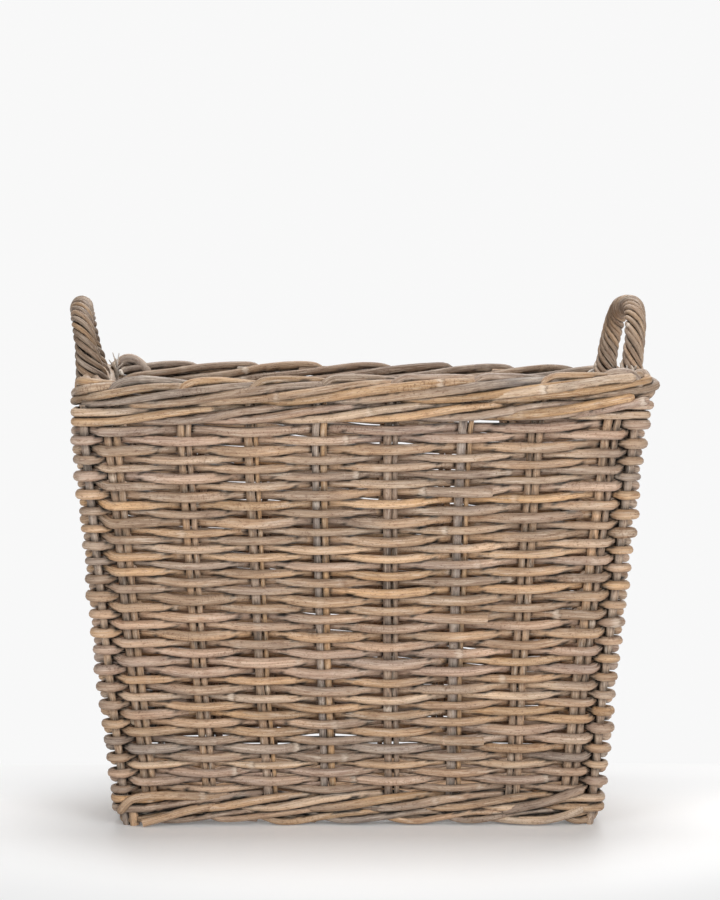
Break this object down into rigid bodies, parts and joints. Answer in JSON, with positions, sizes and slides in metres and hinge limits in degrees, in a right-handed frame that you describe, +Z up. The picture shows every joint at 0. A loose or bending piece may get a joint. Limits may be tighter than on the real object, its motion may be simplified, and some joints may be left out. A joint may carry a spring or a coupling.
{
  "type": "basket",
  "caption": "Rectangular flared basket of greyed rattan canes woven over upright stakes, with laid rim and foot borders and two stiff twisted handles.",
  "frame": {"origin": "middle of the flat underside, on the surface that the basket stands on", "axes": "+X along the long side towards one handle, +Y from the front wall to the back wall, +Z up"},
  "size_m": [0.6295, 0.441, 0.5522],
  "materials": {
    "weaver_rattan": "greyed rattan with its skin on, satin, mixed tan, grey and pinkish canes",
    "stake_rattan": "thin rattan canes, brown-grey to golden, satin",
    "wale_rattan": "greyed rattan with its skin on, satin",
    "border_rattan": "greyed rattan with its skin on, satin, tan and grey canes",
    "handle_rattan": "thin greyed rattan strands, brown-grey, satin",
    "base_rattan": "greyed rattan, dull"
  },
  "bodies": {
    "root": {"corner_post_front_left": "stake_rattan", "stake_pair_front_1": "stake_rattan", "stake_pair_front_2": "stake_rattan", "stake_pair_front_3": "stake_rattan", "stake_pair_front_4": "stake_rattan", "stake_pair_front_5": "stake_rattan", "stake_pair_front_6": "stake_rattan", "stake_pair_front_7": "stake_rattan", "stake_pair_front_8": "stake_rattan", "corner_post_front_right": "stake_rattan", "stake_pair_right_1": "stake_rattan", "stake_pair_right_2": "stake_rattan", "stake_pair_right_3": "stake_rattan", "stake_pair_right_4": "stake_rattan", "stake_pair_right_5": "stake_rattan", "stake_pair_right_6": "stake_rattan", "corner_post_back_right": "stake_rattan", "stake_pair_back_1": "stake_rattan", "stake_pair_back_2": "stake_rattan", "stake_pair_back_3": "stake_rattan", "stake_pair_back_4": "stake_rattan", "stake_pair_back_5": "stake_rattan", "stake_pair_back_6": "stake_rattan", "stake_pair_back_7": "stake_rattan", "stake_pair_back_8": "stake_rattan", "corner_post_back_left": "stake_rattan", "stake_pair_left_1": "stake_rattan", "stake_pair_left_2": "stake_rattan", "stake_pair_left_3": "stake_rattan", "stake_pair_left_4": "stake_rattan", "stake_pair_left_5": "stake_rattan", "stake_pair_left_6": "stake_rattan", "weaver_cane_01": "weaver_rattan", "weaver_cane_02": "weaver_rattan", "weaver_cane_03": "weaver_rattan", "weaver_cane_04": "weaver_rattan", "weaver_cane_05": "weaver_rattan", "weaver_cane_06": "weaver_rattan", "weaver_cane_07": "weaver_rattan", "weaver_cane_08": "weaver_rattan", "weaver_cane_09": "weaver_rattan", "weaver_cane_10": "weaver_rattan", "weaver_cane_11": "weaver_rattan", "weaver_cane_12": "weaver_rattan", "foot_wale_cane_1": "wale_rattan", "foot_wale_cane_2": "wale_rattan", "foot_wale_cane_3": "wale_rattan", "foot_wale_cane_4": "wale_rattan", "rim_wale_cane_1": "wale_rattan", "rim_wale_cane_2": "wale_rattan", "rim_wale_cane_3": "wale_rattan", "rim_wale_cane_4": "wale_rattan", "rim_border": "border_rattan", "foot_border": "border_rattan", "handle_right": "handle_rattan", "handle_left": "handle_rattan", "base_frame": "base_rattan", "base_weave": "base_rattan"}
  },
  "joints": []
}
